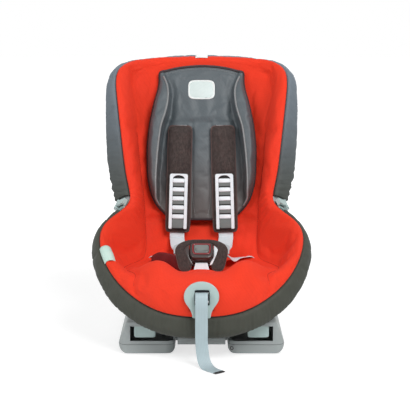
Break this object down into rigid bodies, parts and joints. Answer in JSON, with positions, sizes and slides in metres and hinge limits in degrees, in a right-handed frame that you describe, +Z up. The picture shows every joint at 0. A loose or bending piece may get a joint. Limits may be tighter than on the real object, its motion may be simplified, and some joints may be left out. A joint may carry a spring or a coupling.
{
  "type": "child car seat",
  "caption": "Harnessed child car seat: padded bucket in a plastic shell, reclining on an arc track over a two-foot base, with buckle, strap adjuster and belt clamps.",
  "frame": {"origin": "floor level under the middle of the seat's box", "axes": "+Z up, the child faces -Y, +X is to the right of someone who faces the seat"},
  "size_m": [0.4624, 0.5885, 0.5935],
  "materials": {
    "grey_plastic": "moulded, fine spark grain",
    "pale_plastic": "moulded, satin",
    "white_plastic": "moulded, satin",
    "dark_plastic": "moulded, glossy",
    "button_plastic": "moulded, glossy",
    "black_rubber": "moulded",
    "steel": "zinc plated",
    "red_cloth": "knitted cover over foam",
    "grey_cloth": "woven cover over foam",
    "dark_cloth": "knitted cover over foam",
    "plush": "short plush",
    "webbing": "woven polyester webbing",
    "white_cloth": "woven label tape"
  },
  "bodies": {
    "base": {"base_rail_left": "grey_plastic", "base_rail_right": "grey_plastic", "base_cross_front": "grey_plastic", "base_cross_rear": "grey_plastic", "base_screws": "steel", "foot_pads": "black_rubber", "latch_spring": "steel"},
    "seat": {"seat_shell": "grey_plastic", "shell_runner_left": "grey_plastic", "shell_runner_right": "grey_plastic", "glide_pins": "steel", "recline_rack": "steel", "seat_cover": "red_cloth", "seat_border": "grey_cloth", "back_border": "grey_cloth", "head_insert": "dark_cloth", "label_patch": "white_cloth", "top_tag": "white_cloth", "side_tag": "white_cloth", "shoulder_strap_left": "webbing", "shoulder_strap_right": "webbing", "harness_yoke": "steel", "lap_strap_left": "webbing", "lap_strap_right": "webbing", "lap_anchors": "steel", "crotch_strap": "webbing", "crotch_anchor": "steel", "crotch_pad": "plush", "buckle_back": "dark_plastic", "buckle_housing": "dark_plastic", "buckle_latch": "steel", "buckle_spring": "steel", "adjuster_plate": "pale_plastic", "adjuster_bracket": "steel", "adjuster_pin": "steel", "adjuster_spring": "steel", "adjuster_strap": "webbing", "adjuster_tail": "webbing", "tail_tab": "black_rubber", "belt_guide_left": "pale_plastic", "belt_guide_right": "pale_plastic", "clamp_pins": "steel"},
    "recline_handle": {"recline_handle": "grey_plastic", "latch_bar": "steel"},
    "buckle_button": {"buckle_button": "button_plastic"},
    "tongue_left": {"tongue_left": "steel"},
    "tongue_right": {"tongue_right": "steel"},
    "adjuster_cam": {"adjuster_cam": "steel"},
    "belt_clamp_left": {"belt_clamp_left": "pale_plastic"},
    "belt_clamp_right": {"belt_clamp_right": "pale_plastic"},
    "chest_pad_left": {"chest_pad_left": "plush", "grip_ladder_left": "white_plastic"},
    "chest_pad_right": {"chest_pad_right": "plush", "grip_ladder_right": "white_plastic"}
  },
  "joints": [
    {"name": "recline", "type": "hinge", "parent": "base", "child": "seat", "pos_m": [0, -0.015, 0.455], "axis": [-1, 0, 0], "range_deg": [0, 12]},
    {"name": "recline_handle_pull", "type": "slide", "parent": "base", "child": "recline_handle", "axis": [0, -1, 0], "range_m": [0, 0.012], "stiffness_N_per_m": 600, "deforming": ["latch_spring"]},
    {"name": "buckle_press", "type": "slide", "parent": "seat", "child": "buckle_button", "axis": [0, 0.5592, -0.829], "range_m": [0, 0.0035], "stiffness_N_per_m": 1500, "deforming": ["buckle_spring"]},
    {"name": "tongue_left_pull", "type": "slide", "parent": "seat", "child": "tongue_left", "axis": [0, 0.829, 0.5592], "range_m": [0, 0.026], "deforming": ["shoulder_strap_left", "lap_strap_left"]},
    {"name": "tongue_right_pull", "type": "slide", "parent": "seat", "child": "tongue_right", "axis": [0, 0.829, 0.5592], "range_m": [0, 0.026], "deforming": ["shoulder_strap_right", "lap_strap_right"]},
    {"name": "adjuster_release", "type": "hinge", "parent": "seat", "child": "adjuster_cam", "pos_m": [0, -0.23377, 0.13148], "axis": [-1, 0, 0], "range_deg": [0, 18], "stiffness_Nm_per_rad": 0.08, "deforming": ["adjuster_spring"]},
    {"name": "belt_clamp_left_swing", "type": "hinge", "parent": "seat", "child": "belt_clamp_left", "pos_m": [-0.1848, 0.04117, 0.27298], "axis": [-0.2868, -0.7398, -0.6087], "range_deg": [0, 60]},
    {"name": "belt_clamp_right_swing", "type": "hinge", "parent": "seat", "child": "belt_clamp_right", "pos_m": [0.1848, 0.04117, 0.27298], "axis": [-0.2868, 0.7398, 0.6087], "range_deg": [0, 60]},
    {"name": "chest_pad_left_slide", "type": "slide", "parent": "seat", "child": "chest_pad_left", "axis": [-0.0227, -0.3255, -0.9453], "range_m": [0, 0.01]},
    {"name": "chest_pad_right_slide", "type": "slide", "parent": "seat", "child": "chest_pad_right", "axis": [0.0227, -0.3255, -0.9453], "range_m": [0, 0.01]}
  ]
}
